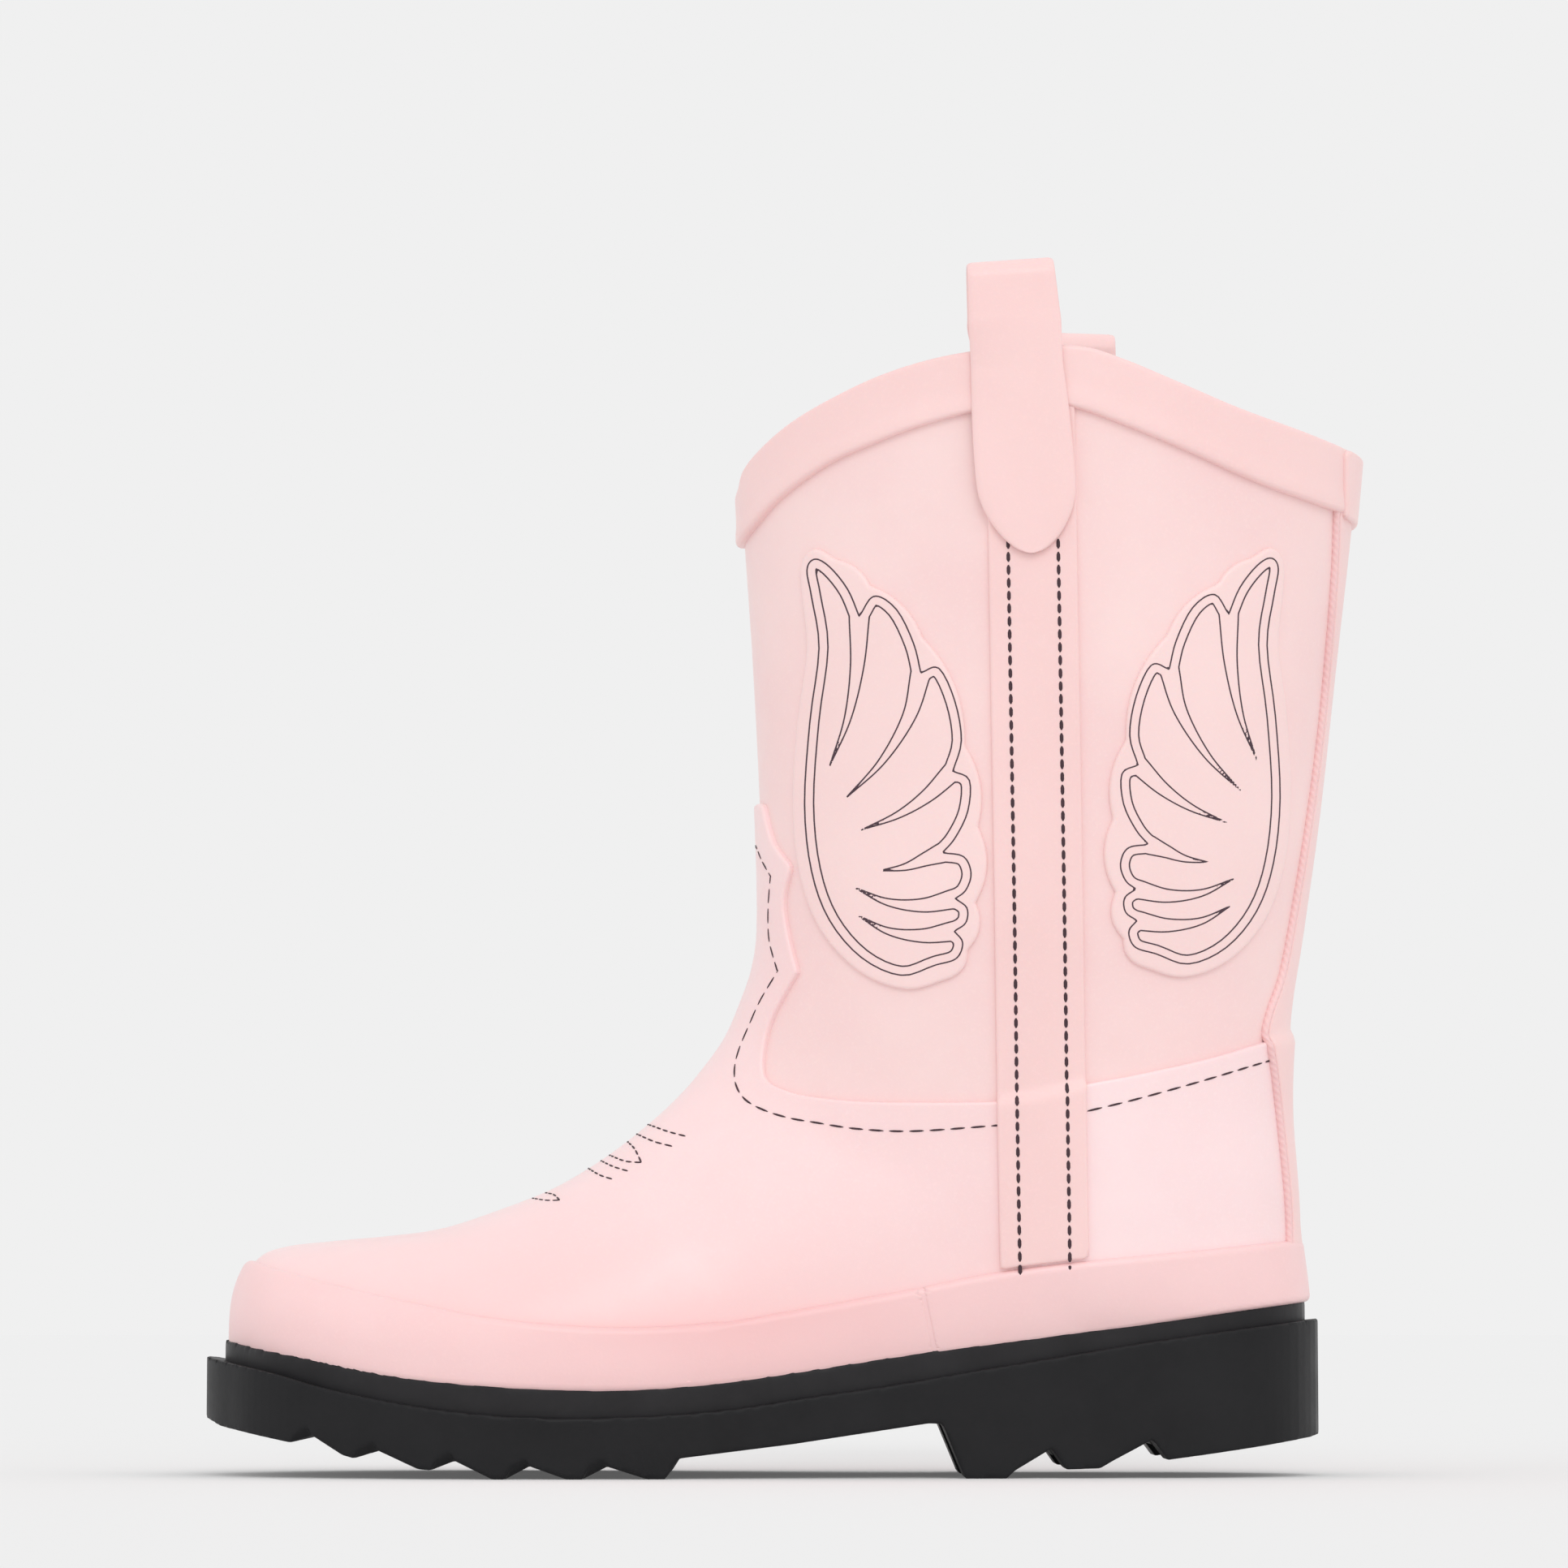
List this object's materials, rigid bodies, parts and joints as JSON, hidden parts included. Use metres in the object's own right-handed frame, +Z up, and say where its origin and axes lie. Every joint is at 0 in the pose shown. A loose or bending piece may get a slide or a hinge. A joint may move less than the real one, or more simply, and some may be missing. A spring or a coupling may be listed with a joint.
{
  "type": "child's pull-on rubber boot",
  "caption": "Calf-high rubber pull-on boot with a lugged sole, raised side strips and wing patches, a collar band, and two pull loops that bend.",
  "frame": {"origin": "middle of the overall box, on the floor plane under the lugs", "axes": "+Z up the shaft; -X towards the toe, +X towards the heel; -Y is the outer side of the foot, +Y the inner side"},
  "size_m": [0.2285, 0.0852, 0.2345],
  "materials": {
    "pink_rubber": "satin",
    "pink_rubber_raised": "satin",
    "black_rubber": "matt",
    "lining_fabric": "knitted",
    "board": "pressed fibre board",
    "stiffener_sheet": "matt"
  },
  "bodies": {
    "boot": {"outsole": "black_rubber", "midsole": "black_rubber", "insole_board": "board", "lining_sole": "lining_fabric", "lining": "lining_fabric", "toe_puff": "stiffener_sheet", "heel_stiffener": "stiffener_sheet", "boot_shell": "pink_rubber", "vamp": "pink_rubber", "counter": "pink_rubber", "toe_rand": "pink_rubber", "heel_rand": "pink_rubber", "back_stay": "pink_rubber_raised", "outer_stay_cord": "pink_rubber_raised", "inner_stay_cord": "pink_rubber_raised", "collar_band": "pink_rubber", "collar_patch": "pink_rubber", "outer_side_strip": "pink_rubber_raised", "inner_side_strip": "pink_rubber_raised", "outer_strap_tab": "pink_rubber_raised", "outer_strap_anchor": "pink_rubber_raised", "inner_strap_tab": "pink_rubber_raised", "inner_strap_anchor": "pink_rubber_raised", "outer_front_wing": "pink_rubber_raised", "outer_rear_wing": "pink_rubber_raised", "inner_front_wing": "pink_rubber_raised", "inner_rear_wing": "pink_rubber_raised"},
    "outer_loop": {"outer_pull_loop": "pink_rubber_raised"},
    "inner_loop": {"inner_pull_loop": "pink_rubber_raised"},
    "loose_insole": {"insole": "lining_fabric"}
  },
  "joints": [
    {"name": "outer_pull_loop_flex", "type": "hinge", "parent": "boot", "child": "outer_loop", "pos_m": [0.0436, -0.0388, 0.217], "axis": [1, 0, 0], "range_deg": [-30, 30], "stiffness_Nm_per_rad": 0.003},
    {"name": "inner_pull_loop_flex", "type": "hinge", "parent": "boot", "child": "inner_loop", "pos_m": [0.058, 0.0384, 0.217], "axis": [-1, 0, 0], "range_deg": [-30, 30], "stiffness_Nm_per_rad": 0.003},
    {"name": "insole_lift", "type": "hinge", "parent": "boot", "child": "loose_insole", "pos_m": [-0.1003, 0.004, 0.0285], "axis": [0, -1, 0], "range_deg": [0, 7]}
  ]
}
